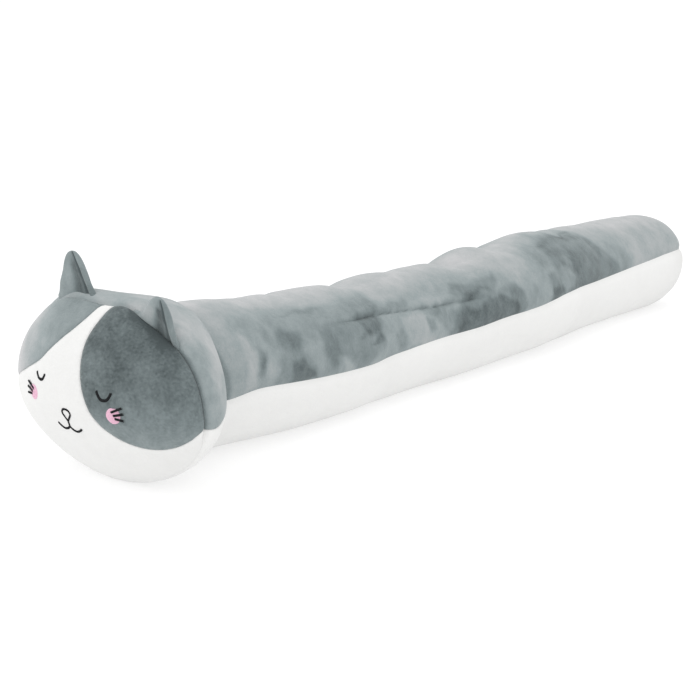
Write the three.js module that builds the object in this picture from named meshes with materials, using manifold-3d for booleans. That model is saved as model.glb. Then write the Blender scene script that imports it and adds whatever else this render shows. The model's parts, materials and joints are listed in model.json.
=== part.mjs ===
// A cat-shaped draught excluder: a long stuffed plush roll that lies along the foot of a door.
// Millimetres, +Z up. The roll runs along X with the face at -X, and the cat's left side is at -Y.
// Lengths called "at" are measured along the roll from the tip of the face.
import * as THREE from "three";
import { mergeVertices } from "three/addons/utils/BufferGeometryUtils.js";
import Module from "manifold-3d";

// Driving dimensions
const overallLength = 900;
const headLength = 92; // from the face to the neck crease
const headWidth = 200;
const headHeight = 131;
const headMiddle = 61; // height at which the head is widest
const headWidestAt = 43;
const neck = { halfWidth: 50, top: 121, bottom: 5 };
const restDepth = 3; // how far the filling is pressed flat where it lies on the floor
const seamGap = 0.3; // clearance between panels
const seamDrawIn = 1.4; // how far the stitching pulls a seam inwards
const headColourSplit = 54; // grey above, white below, behind the face seam
const stitchRise = 0.9; // how far the stitched nose stands proud of the face
const thread = { radius: 1.0, sides: 6 };
const cheekDisc = { halfWidth: 5.8, halfHeight: 5.4, rise: 1.3 };

// Exponents of the head's rounded outlines: 2 is an ellipse, more is squarer
const headRoundness = {
  front: 1.92,
  chin: 1.52,
  upper: 2.3,
  upperRight: 2.1,
  lower: 1.76,
  lowerRight: 2,
  back: 1.3,
};

// The filling bulges at each ear's root, the right ear first; turn as in the creases below
const rootBulges = [
  { at: 38, run: 20, turn: 114, spread: 18, height: 5.5 },
  { at: 34, run: 14, turn: 74, spread: 9, height: 4.5 },
];

// Where the face panels end, seen from the side
const faceSeam = [
  { height: -60, at: 46 },
  { height: 0, at: 42 },
  { height: 50, at: 38 },
  { height: 80, at: 36.5 },
  { height: 105, at: 35 },
  { height: 130, at: 31.5 },
  { height: 200, at: 16 },
];

// Mesh fineness
const headTurns = 44;
const headFrontRings = 15;
const headBackRings = 9;
const bodyArcSteps = 16;
const bodyStep = 10;
const tailRings = 9;

// The roll's sections, neck to tail. sway is the bow of its centre line, lift its height off the floor,
// and roll turns the pair of side seams about the centre line, in degrees.
const bodySections = [
  { at: 92, halfWidth: 47, height: 111, sway: 4, lift: 4.5, roll: -11 },
  { at: 112, halfWidth: 51, height: 111, sway: 4, lift: 4, roll: -10.5 },
  { at: 135, halfWidth: 54, height: 110.5, sway: 4, lift: 3, roll: -6.5 },
  { at: 165, halfWidth: 55, height: 106, sway: 3, lift: 1.5, roll: -3.5 },
  { at: 206, halfWidth: 56, height: 105.5, sway: 1, lift: 0, roll: -4 },
  { at: 258, halfWidth: 56.5, height: 104, sway: -0.5, lift: 0, roll: -4.5 },
  { at: 310, halfWidth: 54.5, height: 104.5, sway: 1, lift: 0, roll: -2 },
  { at: 361, halfWidth: 54.5, height: 104.5, sway: 1.5, lift: 0, roll: 0 },
  { at: 413, halfWidth: 55.5, height: 105, sway: -0.5, lift: 0, roll: 0.5 },
  { at: 465, halfWidth: 57, height: 110, sway: 0, lift: 0, roll: 0.5 },
  { at: 516, halfWidth: 58.5, height: 111.5, sway: 1.5, lift: 0, roll: 1 },
  { at: 568, halfWidth: 60.5, height: 113, sway: 3, lift: 0, roll: 6 },
  { at: 620, halfWidth: 60, height: 114, sway: 7, lift: 0, roll: 7 },
  { at: 671, halfWidth: 57.5, height: 111, sway: 12, lift: 0, roll: 8 },
  { at: 723, halfWidth: 57, height: 110, sway: 14, lift: 0, roll: 11 },
  { at: 775, halfWidth: 57.5, height: 110, sway: 14, lift: 0, roll: 14 },
  { at: 826, halfWidth: 56, height: 109, sway: 13, lift: 0, roll: 17.5 },
  { at: 900, halfWidth: 56, height: 108, sway: 12, lift: 0, roll: 20 },
];
const tailRound = { widthRun: 75, widthPower: 2.3, heightRun: 68, heightPower: 2.5 };

// Soft troughs across or along the roll. turn is degrees round the section: 0 the -Y side, 90 the top.
const creases = [
  { at: 282, turn: 115, run: 16, spread: 45, depth: 2.5 },
  { at: 358, turn: 115, run: 14, spread: 45, depth: 1.5 },
  { at: 432, turn: 118, run: 14, spread: 45, depth: 4 },
  { at: 512, turn: 120, run: 12, spread: 45, depth: 2 },
  { at: 655, turn: 125, run: 16, spread: 40, depth: 2 },
  { at: 292, turn: -25, run: 16, spread: 30, depth: 3 },
  { at: 602, turn: -25, run: 18, spread: 30, depth: 3 },
  { at: 330, turn: 42, run: 95, spread: 5, depth: 2.5 },
];

// Outlines of the grey face patches, seen from the front as distance to the cat's right (+Y) and height
const leftPatchEdge = [
  { across: -23, height: 140 },
  { across: -17, height: 126 },
  { across: -11.5, height: 112 },
  { across: -10, height: 100 },
  { across: -12, height: 85 },
  { across: -16, height: 72 },
  { across: -23, height: 59 },
  { across: -33, height: 49 },
  { across: -48, height: 41.5 },
  { across: -64, height: 39 },
  { across: -78, height: 40.5 },
  { across: -88, height: 44.5 },
  { across: -93.5, height: 50 },
  { across: -97, height: 57 },
  { across: -112, height: 80 },
  { across: -112, height: 140 },
];
const rightPatchEdge = [
  { across: 112, height: 140 },
  { across: 112, height: 54 },
  { across: 92, height: 60.5 },
  { across: 70, height: 70.5 },
  { across: 52, height: 78.5 },
  { across: 35, height: 87.5 },
  { across: 16, height: 103 },
  { across: 3.5, height: 114 },
  { across: -4, height: 124 },
  { across: -8, height: 140 },
];

// Ears: where each meets the head seam, and how its tip stands over the middle of that base
const ears = [
  { name: "ear_left", inner: [33.5, -36, 127.5], outer: [36, -76, 106], lean: [-9, -12.5, 21.5] },
  { name: "ear_right", inner: [37, 9, 129.5], outer: [38, 51.5, 126], lean: [1, 6, 31] },
];
const earForm = { halfThickness: 4.4, cup: 4, root: 0.35, narrowing: 0.7, rings: 9, sides: 16 };

// Stitched face, in the same front view
const eyes = [
  { name: "eye_left", across: -35, height: 76, halfWidth: 6, drop: 5.7 },
  { name: "eye_right", across: 32.2, height: 78, halfWidth: 5.6, drop: 4.5 },
];
const cheeks = [
  { side: "left", across: -43, height: 61, outward: -1 },
  { side: "right", across: 43, height: 62.5, outward: 1 },
];
// Each whisker runs "from" a spot on the cheek disc "to" one beyond it, outwards and up from its middle
const whiskers = [
  { from: [-1, 2.6], to: [7.2, 6.4] },
  { from: [0.8, 0.4], to: [8.2, 2.4] },
  { from: [2, -1.6], to: [8.4, -2.2] },
];
const noseForm = { across: 1.4, top: 58.5, halfWidth: 4.4, tip: 50.2 };
const mouthForm = { height: 45.6, dip: 2.6, leftReach: 12.5, rightReach: 13.5, cornerRise: 0.6 };

const grey = { color: 0x85908f, roughness: 0.95, metalness: 0 };
const white = { color: 0xf1f0ee, roughness: 0.95, metalness: 0 };
const black = { color: 0x1c1f20, roughness: 0.7, metalness: 0 };
const pink = { color: 0xf0c3d3, roughness: 0.8, metalness: 0 };

const wasm = await Module();
wasm.setup();

const radians = THREE.MathUtils.degToRad;
const point = (x, y, z) => new THREE.Vector3(x, y, z);
const signedPower = (value, power) => Math.sign(value) * Math.abs(value) ** power;
const bell = (distance, width) => Math.exp(-((distance / width) ** 2));

// Solids for cutting and joining
function solidOf(geometry) {
  const bare = new THREE.BufferGeometry();
  bare.setAttribute("position", geometry.getAttribute("position"));
  bare.setIndex(geometry.getIndex());
  const merged = mergeVertices(bare, 1e-3);
  const vertProperties = new Float32Array(merged.getAttribute("position").array);
  const triVerts = new Uint32Array(merged.getIndex().array);
  return new wasm.Manifold(new wasm.Mesh({ numProp: 3, vertProperties, triVerts }));
}

function geometryOf(solid) {
  const mesh = solid.getMesh();
  const geometry = new THREE.BufferGeometry();
  geometry.setAttribute("position", new THREE.BufferAttribute(mesh.vertProperties, 3));
  geometry.setIndex(new THREE.BufferAttribute(mesh.triVerts, 1));
  geometry.computeVertexNormals();
  return geometry;
}

// A closed skin over rings of points that follow each other, with an end point at each end
function loft(rings, startPoint, endPoint) {
  const around = rings[0].length;
  const points = [...rings.flat(), startPoint, endPoint];
  const start = points.length - 2;
  const end = points.length - 1;
  const lastRing = (rings.length - 1) * around;
  const faces = [];
  for (let turn = 0; turn < around; turn++) {
    const next = (turn + 1) % around;
    for (let ring = 0; ring < rings.length - 1; ring++) {
      const low = ring * around;
      const high = low + around;
      faces.push(low + turn, high + turn, high + next, low + turn, high + next, low + next);
    }
    faces.push(start, turn, next, end, lastRing + next, lastRing + turn);
  }
  const geometry = new THREE.BufferGeometry().setFromPoints(points);
  geometry.setIndex(faces);
  return geometry;
}

// Smooth value of one column of a table, by its place along the roll or another column
function column(table, name, at, by = "at") {
  const last = table.length - 2;
  const found = table.findIndex((row, index) => index <= last && at <= table[index + 1][by]);
  const index = found < 0 ? last : found;
  const [before, from, to, after] = [-1, 0, 1, 2].map(
    (step) => table[THREE.MathUtils.clamp(index + step, 0, table.length - 1)],
  );
  const run = to[by] - from[by];
  const slope = (a, b) => ((b[name] - a[name]) / Math.max(b[by] - a[by], 1)) * run;
  const t = THREE.MathUtils.clamp((at - from[by]) / run, 0, 1);
  const leave = slope(before, to);
  const arrive = slope(from, after);
  return (
    from[name] * (2 * t ** 3 - 3 * t ** 2 + 1) +
    leave * (t ** 3 - 2 * t ** 2 + t) +
    to[name] * (3 * t ** 2 - 2 * t ** 3) +
    arrive * (t ** 3 - t ** 2)
  );
}

// The head: how far it reaches to the side, up and down at a place along it
function headReach(at) {
  const up = headHeight - headMiddle;
  const down = headMiddle + restDepth;
  if (at <= headWidestAt) {
    const back = (headWidestAt - at) / headWidestAt;
    const share = (power) => (1 - back ** power) ** (1 / power);
    const { front, chin } = headRoundness;
    return { side: (headWidth / 2) * share(front), up: up * share(front), down: down * share(chin) };
  }
  const on = (at - headWidestAt) / (headLength - headWidestAt);
  const share = (1 - on ** headRoundness.back) ** (1 / headRoundness.back);
  return {
    side: THREE.MathUtils.lerp(neck.halfWidth, headWidth / 2, share),
    up: THREE.MathUtils.lerp(neck.top - headMiddle, up, share),
    down: THREE.MathUtils.lerp(headMiddle - neck.bottom, down, share),
  };
}

// How square the head's outline is above or below its widest height, to its right and its left
function headPower(across, rise) {
  const { upper, upperRight, lower, lowerRight } = headRoundness;
  if (rise < 0) return across > 0 ? lowerRight : lower;
  return across > 0 ? upperRight : upper;
}

function rootBulge(at, turn) {
  return rootBulges.reduce((sum, bulge) => {
    const off = THREE.MathUtils.radToDeg(turn) - bulge.turn;
    return sum + bulge.height * bell(at - bulge.at, bulge.run) * bell(off, bulge.spread);
  }, 0);
}

function headRing(at, grow) {
  const reach = headReach(at);
  return Array.from({ length: headTurns }, (_, step) => {
    const turn = (step / headTurns) * 2 * Math.PI;
    const power = 2 / headPower(-Math.cos(turn), Math.sin(turn));
    const across = signedPower(Math.cos(turn), power);
    const rise = signedPower(Math.sin(turn), power);
    const tall = rise >= 0 ? reach.up : reach.down;
    const seamAt = column(faceSeam, "at", headMiddle + rise * tall, "height");
    const draw = grow - seamDrawIn * bell(at - seamAt, 5);
    const y = -across * (reach.side + draw);
    const z = headMiddle + rise * (tall + draw + rootBulge(at, turn));
    return point(at, y, Math.max(z, -grow));
  });
}

// The whole head as one filled form; grow is the clearance for cutting what sits on it
function headForm(grow = 0) {
  const rings = [];
  for (let step = 1; step <= headFrontRings; step++) {
    const turn = (step / headFrontRings) * (Math.PI / 2);
    rings.push(headRing(headWidestAt * (1 - Math.cos(turn)), grow));
  }
  for (let step = 1; step <= headBackRings; step++) {
    const on = step / headBackRings;
    rings.push(headRing(THREE.MathUtils.lerp(headWidestAt, headLength, on), grow));
  }
  if (grow) rings.forEach((ring) => ring.forEach((p) => p.setX(p.x - grow)));
  return solidOf(loft(rings, point(-grow, 0, headMiddle), point(headLength, 0, headMiddle)));
}

// The face's surface behind a spot of the front view, closed in on by halves
function onFace(across, height) {
  const power = headPower(across, height - headMiddle);
  let [front, back] = [0, headWidestAt];
  for (let step = 0; step < 30; step++) {
    const at = (front + back) / 2;
    const reach = headReach(at);
    const tall = height >= headMiddle ? reach.up : reach.down;
    const share = Math.abs(across / reach.side) ** power + Math.abs((height - headMiddle) / tall) ** power;
    if (share > 1) front = at;
    else back = at;
  }
  return point(back, across, height);
}

// Everything in front of, or behind, the face seam
function seamSide(facing) {
  const size = 400;
  const spots = [];
  for (let height = -60; height <= 200; height += 13) {
    const at = column(faceSeam, "at", height, "height");
    spots.push(new THREE.Vector2(at + (facing * seamGap) / 2, height));
  }
  spots.push(new THREE.Vector2(facing * size, 200), new THREE.Vector2(facing * size, -60));
  const block = new THREE.ExtrudeGeometry(new THREE.Shape(spots), { depth: size, bevelEnabled: false });
  block.translate(0, 0, -size / 2);
  block.rotateX(Math.PI / 2);
  return solidOf(block);
}

// Everything above, or below, the change of colour behind the face seam
function colourSide(facing) {
  const size = 400;
  const block = new THREE.BoxGeometry(size, size, size);
  block.translate(0, 0, headColourSplit + (facing * (size + seamGap)) / 2);
  return solidOf(block);
}

// A face patch's outline run straight back through the head; grow widens it all round
function patchPrism(edge, grow) {
  const curve = new THREE.SplineCurve(edge.map((row) => new THREE.Vector2(row.across, row.height)));
  const outline = curve.getPoints(edge.length * 3);
  const widened = outline.map((spot, index) => {
    const ahead = outline[Math.min(index + 1, outline.length - 1)];
    const behind = outline[Math.max(index - 1, 0)];
    const run = ahead.clone().sub(behind).normalize();
    return new THREE.Vector2(spot.x - run.y * grow, spot.y + run.x * grow);
  });
  const shape = new THREE.Shape(widened);
  const prism = new THREE.ExtrudeGeometry(shape, { depth: headLength * 2, bevelEnabled: false });
  prism.applyMatrix4(new THREE.Matrix4().makeBasis(point(0, 1, 0), point(0, 0, 1), point(1, 0, 0)));
  prism.translate(-headLength, 0, 0);
  return solidOf(prism);
}

// The roll: its half width, height and place at one station, rounded off at the tail
function bodyReach(at) {
  const value = (name) => column(bodySections, name, at);
  const rounded = (run, power) => {
    const on = THREE.MathUtils.clamp((at - (overallLength - run)) / run, 0, 1);
    return (1 - on ** power) ** (1 / power);
  };
  const height = value("height");
  const tall = rounded(tailRound.heightRun, tailRound.heightPower);
  return {
    side: value("halfWidth") * rounded(tailRound.widthRun, tailRound.widthPower),
    half: (height * tall) / 2,
    middle: value("lift") + height / 2,
    sway: value("sway"),
    roll: radians(value("roll")),
  };
}

function creaseDepth(at, turn) {
  const apart = (degrees) => Math.abs(THREE.MathUtils.euclideanModulo(degrees + 180, 360) - 180);
  return creases.reduce((sum, crease) => {
    const off = apart(THREE.MathUtils.radToDeg(turn) - crease.turn);
    return sum + crease.depth * bell(at - crease.at, crease.run) * bell(off, crease.spread);
  }, 0);
}

// One spot of the roll's surface: turn 0 faces -Y, a quarter turn is the top
function bodySpot(at, turn) {
  const reach = bodyReach(at);
  const fullness = reach.half / bodyReach(overallLength / 2).half;
  const offSeam = Math.asin(Math.abs(Math.sin(turn - reach.roll)));
  const seamWidth = 0.14;
  const draw = (seamDrawIn * bell(offSeam, seamWidth) + creaseDepth(at, turn)) * Math.min(fullness, 1);
  const rise = Math.sin(turn) >= 0 ? reach.half : reach.half + restDepth;
  const y = reach.sway - Math.cos(turn) * (reach.side - draw);
  const z = reach.middle + Math.sin(turn) * (rise - draw);
  return point(at, y, Math.max(z, 0));
}

// Half of the filled roll, from one side seam round to the other: the back above, the belly below
function bodyHalf(isBack) {
  const stations = [];
  const roundFrom = overallLength - tailRound.widthRun;
  const steps = Math.round((roundFrom - headLength) / bodyStep);
  for (let step = 0; step < steps; step++) {
    stations.push(THREE.MathUtils.lerp(headLength + seamGap, roundFrom, step / steps));
  }
  for (let step = 0; step < tailRings; step++) {
    stations.push(roundFrom + tailRound.widthRun * Math.sin((step / tailRings) * (Math.PI / 2)));
  }
  const middleOf = (at) => {
    const reach = bodyReach(at);
    return point(at, reach.sway, reach.middle);
  };
  const rings = stations.map((at) => {
    const reach = bodyReach(at);
    const gapTurn = seamGap / 2 / Math.min(reach.side, reach.half);
    const first = reach.roll + gapTurn + (isBack ? 0 : Math.PI);
    const sweep = Math.PI - 2 * gapTurn;
    return Array.from({ length: bodyArcSteps + 1 }, (_, step) =>
      bodySpot(at, first + (step / bodyArcSteps) * sweep),
    );
  });
  const ends = [stations[0], overallLength].map(middleOf);
  const inset = isBack ? seamGap : -seamGap;
  ends.forEach((end) => end.setZ(end.z + inset));
  return loft(rings, ends[0], ends[1]);
}

// An ear: a cupped, padded triangle with a round tip, rooted in the head seam and cut to sit on it
function ear(form, clearance) {
  const inner = point(...form.inner);
  const outer = point(...form.outer);
  const lean = point(...form.lean);
  const base = inner.clone().add(outer).multiplyScalar(0.5);
  const chord = outer.clone().sub(inner).multiplyScalar(0.5);
  const front = chord.clone().cross(lean).normalize();
  if (front.x > 0) front.negate();
  const rings = [];
  for (let step = 0; step <= earForm.rings; step++) {
    const on = THREE.MathUtils.lerp(-earForm.root, 0.985, step / earForm.rings);
    const tip = Math.sqrt(1 - Math.max(on, 0) ** 5);
    const wide = (1 - earForm.narrowing * Math.max(on, 0)) * tip;
    const ring = Array.from({ length: earForm.sides }, (_, side) => {
      const turn = (side / earForm.sides) * 2 * Math.PI;
      const across = signedPower(Math.cos(turn), 0.7) * wide;
      const padding = signedPower(Math.sin(turn), 0.7) * earForm.halfThickness * tip;
      const thick = padding + earForm.cup * across ** 2;
      const spot = base.clone().addScaledVector(lean, on);
      return spot.addScaledVector(chord, across).addScaledVector(front, thick);
    });
    rings.push(ring);
  }
  const rootPoint = base.clone().addScaledVector(lean, -earForm.root);
  let solid = solidOf(loft(rings, rootPoint, base.clone().add(lean)));
  if (solid.volume() < 0) {
    rings.forEach((ring) => ring.reverse());
    solid = solidOf(loft(rings, rootPoint, base.clone().add(lean)));
  }
  return solid.subtract(clearance);
}

// A stitched line through spots of the front view; radius is the thread's
function stitch(spots, radius, steps) {
  const path = new THREE.CatmullRomCurve3(spots.map(([across, height]) => onFace(across, height)));
  const section = new THREE.Shape();
  for (let side = 0; side < thread.sides; side++) {
    const turn = (side / thread.sides) * 2 * Math.PI;
    const corner = [Math.cos(turn) * radius, Math.sin(turn) * radius];
    if (side) section.lineTo(...corner);
    else section.moveTo(...corner);
  }
  section.closePath();
  return solidOf(new THREE.ExtrudeGeometry(section, { steps, bevelEnabled: false, extrudePath: path }));
}

function eyeLine(eye) {
  const spots = [-1, -0.8, 0, 0.8, 1].map((share) => [
    eye.across + share * eye.halfWidth,
    eye.height - eye.drop * (1 - Math.abs(share) ** 2.6),
  ]);
  return stitch(spots, thread.radius, 10);
}

function noseAndMouth() {
  const { across, top, halfWidth, tip } = noseForm;
  const side = (way) => [
    [across - way * 0.6, top],
    [across + way * halfWidth * 0.7, top - 0.6],
    [across + way * halfWidth, top - 3],
    [across + way * halfWidth * 0.5, top - 6],
    [across - way * 0.3, tip - 0.5],
  ];
  const corner = (reach) => [
    [across - Math.sign(reach) * 0.4, mouthForm.height + 0.6],
    [across + reach * 0.2, mouthForm.height - mouthForm.dip * 0.6],
    [across + reach * 0.5, mouthForm.height - mouthForm.dip],
    [across + reach * 0.8, mouthForm.height - mouthForm.dip * 0.5],
    [across + reach, mouthForm.height + mouthForm.cornerRise],
  ];
  const stem = [
    [across, tip + 0.4],
    [across, mouthForm.height],
  ];
  return [side(-1), side(1), stem, corner(-mouthForm.leftReach), corner(mouthForm.rightReach)]
    .map((spots) => stitch(spots, thread.radius, 8))
    .reduce((whole, line) => whole.add(line));
}

function whiskerLine(cheek, whisker, grow = 0) {
  const spot = ([outward, up]) => [cheek.across + cheek.outward * outward, cheek.height + up];
  const between = [0, 1].map((axis) => (whisker.from[axis] + whisker.to[axis]) / 2);
  return stitch([spot(whisker.from), spot(between), spot(whisker.to)], thread.radius + grow, 4);
}

// A low satin-stitched spot, turned to lie on the face
function cheekSpot(cheek) {
  const middle = onFace(cheek.across, cheek.height);
  const beside = onFace(cheek.across + 2, cheek.height).sub(middle).normalize();
  const above = onFace(cheek.across, cheek.height + 2).sub(middle).normalize();
  const outward = above.clone().cross(beside).normalize();
  const disc = new THREE.SphereGeometry(1, 16, 10);
  disc.scale(cheekDisc.halfWidth, cheekDisc.halfHeight, cheekDisc.rise);
  disc.applyMatrix4(new THREE.Matrix4().makeBasis(beside, above, outward.negate()).setPosition(middle));
  return solidOf(disc);
}

const part = new THREE.Group();
const roll = new THREE.Group();
roll.position.x = -(overallLength - stitchRise) / 2; // the origin lies under the middle of the roll
part.add(roll);

function addPiece(name, geometry, finish) {
  geometry.computeVertexNormals();
  const mesh = new THREE.Mesh(geometry, new THREE.MeshStandardMaterial(finish));
  mesh.name = name;
  roll.add(mesh);
}

function addSolid(name, solid, finish) {
  addPiece(name, geometryOf(solid), finish);
}

addPiece("body_back", bodyHalf(true), grey);
addPiece("body_belly", bodyHalf(false), white);

const head = headForm();
const clearance = headForm(seamGap);
const headBehind = head.intersect(seamSide(1));
addSolid("head_back", headBehind.intersect(colourSide(1)), grey);
addSolid("head_under", headBehind.intersect(colourSide(-1)), white);

const face = head.intersect(seamSide(-1));
const patchEdges = { face_patch_left: leftPatchEdge, face_patch_right: rightPatchEdge };
let facePanel = face;
for (const [name, edge] of Object.entries(patchEdges)) {
  addSolid(name, face.intersect(patchPrism(edge, -seamGap / 2)), grey);
  facePanel = facePanel.subtract(patchPrism(edge, seamGap / 2));
}
addSolid("face_panel", facePanel, white);

for (const form of ears) addSolid(form.name, ear(form, clearance), grey);

for (const eye of eyes) addSolid(eye.name, eyeLine(eye).subtract(clearance), black);
addSolid("nose_mouth", noseAndMouth().subtract(clearance), black);
for (const cheek of cheeks) {
  let spot = cheekSpot(cheek).subtract(clearance);
  whiskers.forEach((whisker, index) => {
    const line = whiskerLine(cheek, whisker).subtract(clearance);
    addSolid(`whisker_${cheek.side}_${index + 1}`, line, black);
    spot = spot.subtract(whiskerLine(cheek, whisker, seamGap));
  });
  addSolid(`cheek_${cheek.side}`, spot, pink);
}

export default part;
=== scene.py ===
import json
import math
import bpy
import numpy as np
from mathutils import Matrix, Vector
from mathutils.geometry import delaunay_2d_cdt

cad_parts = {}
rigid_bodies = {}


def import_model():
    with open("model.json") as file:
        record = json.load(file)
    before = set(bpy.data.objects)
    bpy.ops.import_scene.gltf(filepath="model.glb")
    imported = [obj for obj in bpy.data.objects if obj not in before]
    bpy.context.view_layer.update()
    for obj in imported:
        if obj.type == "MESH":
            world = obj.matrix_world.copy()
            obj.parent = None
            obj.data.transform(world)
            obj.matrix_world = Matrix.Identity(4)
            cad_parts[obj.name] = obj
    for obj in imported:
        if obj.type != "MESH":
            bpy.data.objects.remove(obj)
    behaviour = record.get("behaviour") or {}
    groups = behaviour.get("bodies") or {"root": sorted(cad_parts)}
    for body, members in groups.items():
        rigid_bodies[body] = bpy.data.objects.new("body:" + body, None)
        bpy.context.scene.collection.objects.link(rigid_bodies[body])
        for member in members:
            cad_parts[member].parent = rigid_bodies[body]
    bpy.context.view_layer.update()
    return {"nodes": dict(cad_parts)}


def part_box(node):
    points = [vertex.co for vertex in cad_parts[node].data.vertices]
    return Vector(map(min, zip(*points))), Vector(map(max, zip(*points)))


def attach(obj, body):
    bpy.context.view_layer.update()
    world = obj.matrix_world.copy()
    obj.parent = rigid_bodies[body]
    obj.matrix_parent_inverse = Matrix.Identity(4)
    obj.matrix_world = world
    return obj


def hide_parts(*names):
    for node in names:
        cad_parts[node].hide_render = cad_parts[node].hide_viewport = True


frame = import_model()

metre = 1000.0  # shapes are worked out in millimetres
faceX = min(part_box(n)[0][0] for n in ("face_panel", "face_patch_left")) * metre  # tip of the face

for leftover in [o for o in bpy.data.objects if o.name in ("Cube", "Light", "Camera")]:
    bpy.data.objects.remove(leftover)


# small helpers
def bell(distance, width):
    return np.exp(-((distance / width) ** 2))


def offFloor(points):  # nothing is raised where the cloth lies flat
    return easeStep(points[..., 2], 0.3, 6)


def signedPower(value, power):
    return np.sign(value) * np.abs(value) ** power


def easeStep(value, low, high):
    t = np.clip((value - low) / (high - low), 0, 1)
    return t * t * (3 - 2 * t)


def softNoise(points, size, seed):  # smooth random field between -1 and 1
    cell = np.asarray(points, float) / size
    low = np.floor(cell).astype(np.int64)
    ease = (cell - low) ** 2 * (3 - 2 * (cell - low))
    total = np.zeros(len(cell))
    for corner in np.ndindex(2, 2, 2):
        spot = low + corner
        mixed = spot[:, 0] * 73856093 ^ spot[:, 1] * 19349663 ^ spot[:, 2] * 83492791 ^ seed * 2654435761
        mixed = (mixed ^ (mixed >> 13)) * 1274126177
        value = ((mixed ^ (mixed >> 16)) & 0xFFFF) / 32767.5 - 1
        total += value * np.prod(np.where(corner, ease, 1 - ease), axis=1)
    return total


def refine(grid, times, wrap=False):  # smooth curve through the rows of a grid
    rows = len(grid)
    spans = rows if wrap else rows - 1
    place = np.arange(spans * times + (0 if wrap else 1)) / times
    first = np.minimum(place.astype(int), spans - 1)
    t = (place - first).reshape((-1,) + (1,) * (grid.ndim - 1))

    def row(step):
        index = first + step
        return grid[index % rows] if wrap else grid[np.clip(index, 0, rows - 1)]

    a, b, c, d = row(-1), row(0), row(1), row(2)
    return 0.5 * (2 * b + (c - a) * t + (2 * a - 5 * b + 4 * c - d) * t**2 + (3 * b - a - 3 * c + d) * t**3)


def insideBy(x, y, outline):  # how far inside an outline each place is, less than nothing outside
    gap, inside = np.full(x.shape, 1e6), np.zeros(x.shape, bool)
    for (ax, ay), (bx, by) in zip(outline, outline[1:] + outline[:1]):
        runX, runY = bx - ax, by - ay
        along = np.clip(((x - ax) * runX + (y - ay) * runY) / (runX**2 + runY**2), 0, 1)
        gap = np.minimum(gap, np.hypot(x - ax - along * runX, y - ay - along * runY))
        inside ^= ((ay > y) != (by > y)) & (x < runX * (y - ay) / (runY if runY else 1e-9) + ax)
    return np.where(inside, gap, -gap)


def brush(nap, x, y, marks):  # adds each mark's tone inside its outline
    for tone, edge, outline in marks:
        nap = nap + tone * easeStep(insideBy(x, y, outline), -edge, edge)
    return nap


def unit(vectors):
    return vectors / np.maximum(np.linalg.norm(vectors, axis=-1, keepdims=True), 1e-9)


def lineLengths(line):  # way along a line to each of its points
    return np.append(0, np.cumsum(np.linalg.norm(np.diff(line, axis=0), axis=1)))


def lineSpots(line, lengths, ticks):
    return np.column_stack([np.interp(ticks, lengths, line[:, k]) for k in (0, 1)])


def smoothAt(rows, place, times=8):  # value of a smooth curve through pairs of place and value
    fine = refine(np.array(rows, float), times)
    return np.interp(place, fine[:, 0], fine[:, 1])


def quad(row, j, k, wide):  # face between two rows of a grid, from column k to column j
    return row * wide + k, row * wide + j, (row + 1) * wide + j, (row + 1) * wide + k


def makeObject(name, points, faces, edges=()):
    mesh = bpy.data.meshes.new(name)
    mesh.from_pydata([tuple(p) for p in np.asarray(points) / metre], list(edges), [tuple(f) for f in faces])
    mesh.validate()
    mesh.polygons.foreach_set("use_smooth", [True] * len(mesh.polygons))
    piece = bpy.data.objects.new(name, mesh)
    bpy.context.collection.objects.link(piece)
    return piece


def addValues(piece, name, values):  # a number on each point, read by the material
    layer = piece.data.attributes.new(name, "FLOAT", "POINT")
    layer.data.foreach_set("value", np.asarray(values, np.float32))


def settle(piece):  # turn modifiers into a plain mesh
    seen = piece.evaluated_get(bpy.context.evaluated_depsgraph_get())
    done = bpy.data.meshes.new_from_object(seen)
    old = piece.data
    piece.modifiers.clear()
    piece.data = done
    bpy.data.meshes.remove(old)
    done.name = piece.name


def thicken(piece, thickness):  # cloth panels get a body behind their face
    solid = piece.modifiers.new("thickness", "SOLIDIFY")
    solid.thickness = thickness / metre
    solid.offset = -1
    solid.use_even_offset = False
    settle(piece)


def faceNormals(points, faces):
    p = np.asarray(points)
    normals = np.zeros_like(p)
    tri = np.asarray([(f[0], f[i], f[i + 1]) for f in faces for i in range(1, len(f) - 1)])
    cross = np.cross(p[tri[:, 1]] - p[tri[:, 0]], p[tri[:, 2]] - p[tri[:, 0]])
    for corner in range(3):
        np.add.at(normals, tri[:, corner], cross)
    return unit(normals)


# materials
class Wire:
    def __init__(self, tree, socket=None):
        self.tree, self.socket = tree, socket

    def node(self, kind, settings=None, feeds=None, out=0):
        made = self.tree.nodes.new(kind)
        for key, value in (settings or {}).items():
            if key == "stops":
                ramp = made.color_ramp.elements
                while len(ramp) < len(value):
                    ramp.new(0.5)
                for element, (place, colour) in zip(ramp, value):
                    element.position, element.color = place, (*colour, 1)
            else:
                setattr(made, key, value)
        for key, value in (feeds or {}).items():
            if isinstance(value, Wire):
                self.tree.links.new(value.socket, made.inputs[key])
            else:
                made.inputs[key].default_value = value
        return Wire(self.tree, made.outputs[out]) if made.outputs else made

    def maths(self, operation, first, second):
        return self.node("ShaderNodeMath", {"operation": operation}, {0: first, 1: second})

    def __add__(self, other): return self.maths("ADD", self, other)
    def __radd__(self, other): return self.maths("ADD", other, self)
    def __sub__(self, other): return self.maths("SUBTRACT", self, other)
    def __rsub__(self, other): return self.maths("SUBTRACT", other, self)
    def __mul__(self, other): return self.maths("MULTIPLY", self, other)
    def __rmul__(self, other): return self.maths("MULTIPLY", other, self)


def newMaterial(name):
    material = bpy.data.materials.new(name)
    material.use_nodes = True
    material.node_tree.nodes.clear()
    return material, Wire(material.node_tree)


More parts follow.
